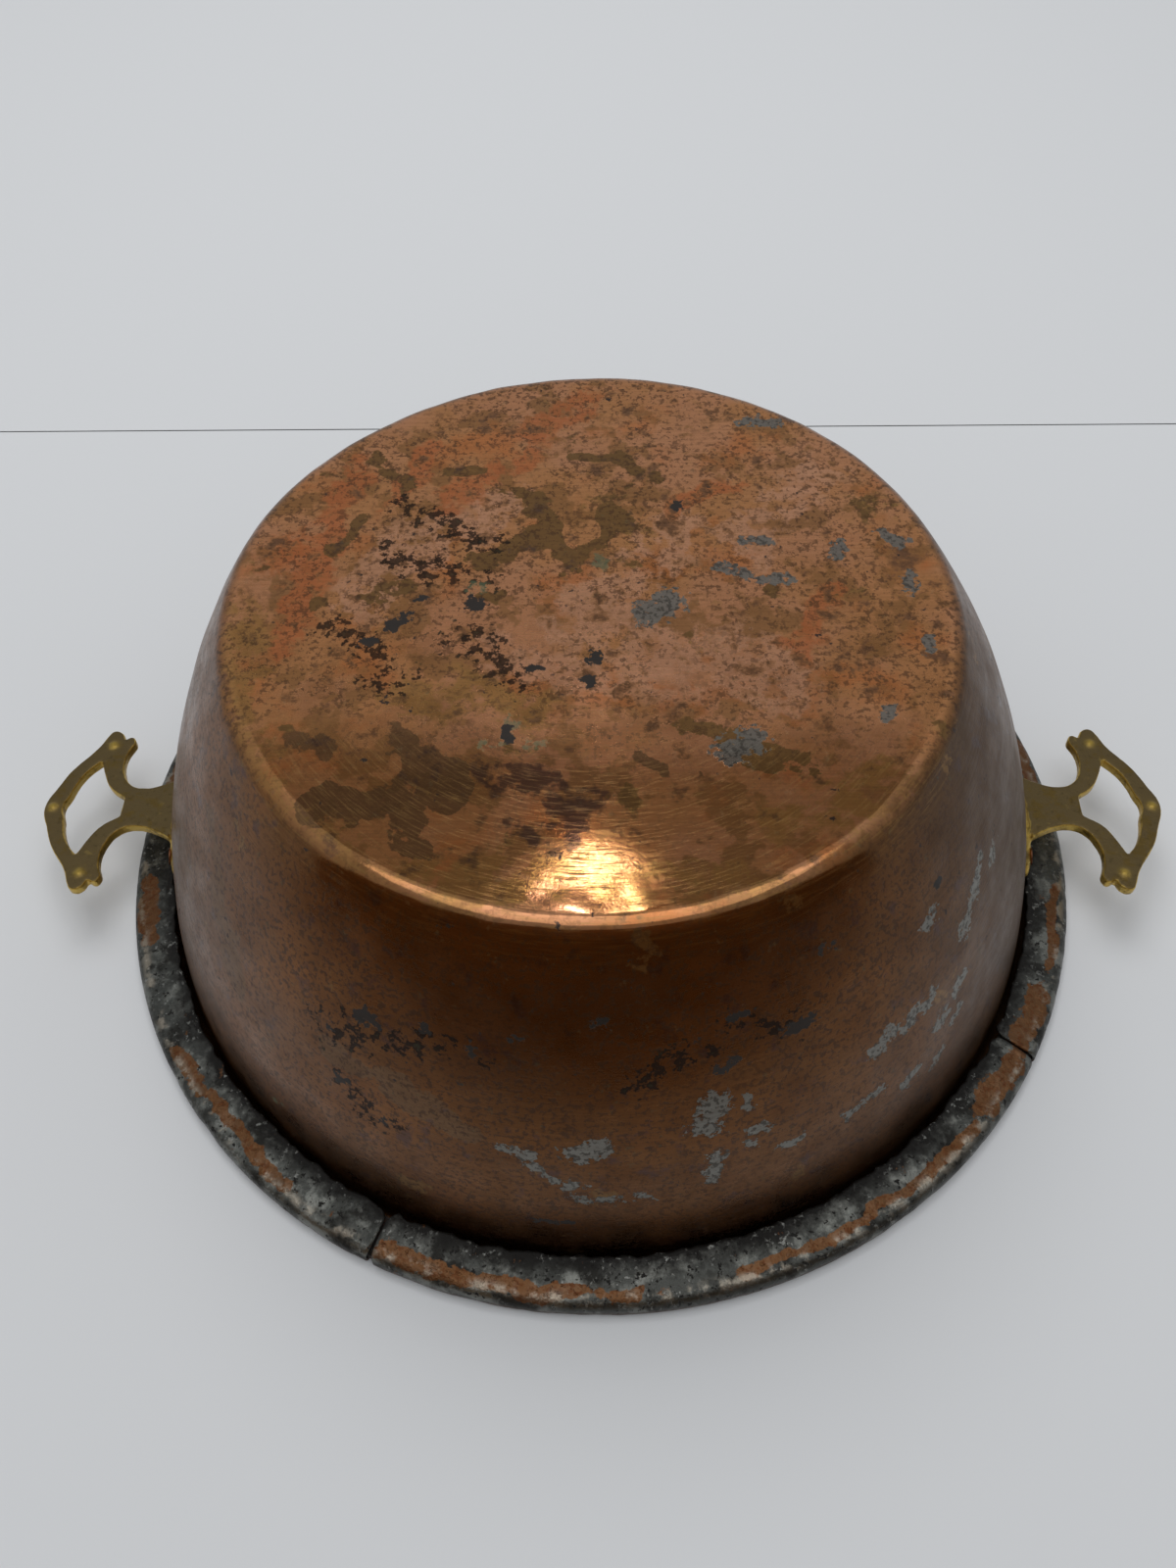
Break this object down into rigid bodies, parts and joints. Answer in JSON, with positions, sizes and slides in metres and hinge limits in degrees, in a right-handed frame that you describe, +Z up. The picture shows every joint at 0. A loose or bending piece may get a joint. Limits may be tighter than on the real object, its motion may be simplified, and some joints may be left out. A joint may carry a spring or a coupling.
{
  "type": "hammered copper bowl",
  "caption": "Round hammered copper pan with a flat base, bowed wall, bound rim and cast brass side handles, standing on its rim with the base up.",
  "frame": {"origin": "on the bowl's axis, in the plane that the rim rests on", "axes": "+Z up from the rim to the outer face of the base, so the bowl lies mouth down; +X along the line through both handles; +Y across them"},
  "size_m": [0.4752, 0.4, 0.15],
  "materials": {
    "copper": "old hammered copper, patchy brown and orange, half polished",
    "tinned_copper": "worn, sooty tin over copper",
    "iron": "dark wrought iron",
    "brass": "dull olive-brown cast brass with golden worn edges",
    "rivet_copper": "hammered copper, dull"
  },
  "bodies": {
    "root": {"bowl_body": "copper", "rim_hoop": "iron", "rim_strip_1": "tinned_copper", "rim_strip_2": "tinned_copper", "rim_strip_3": "tinned_copper", "rim_strip_4": "tinned_copper", "handle_right": "brass", "handle_left": "brass", "rivet_right_a": "rivet_copper", "rivet_right_b": "rivet_copper", "rivet_left_a": "rivet_copper", "rivet_left_b": "rivet_copper"}
  },
  "joints": []
}
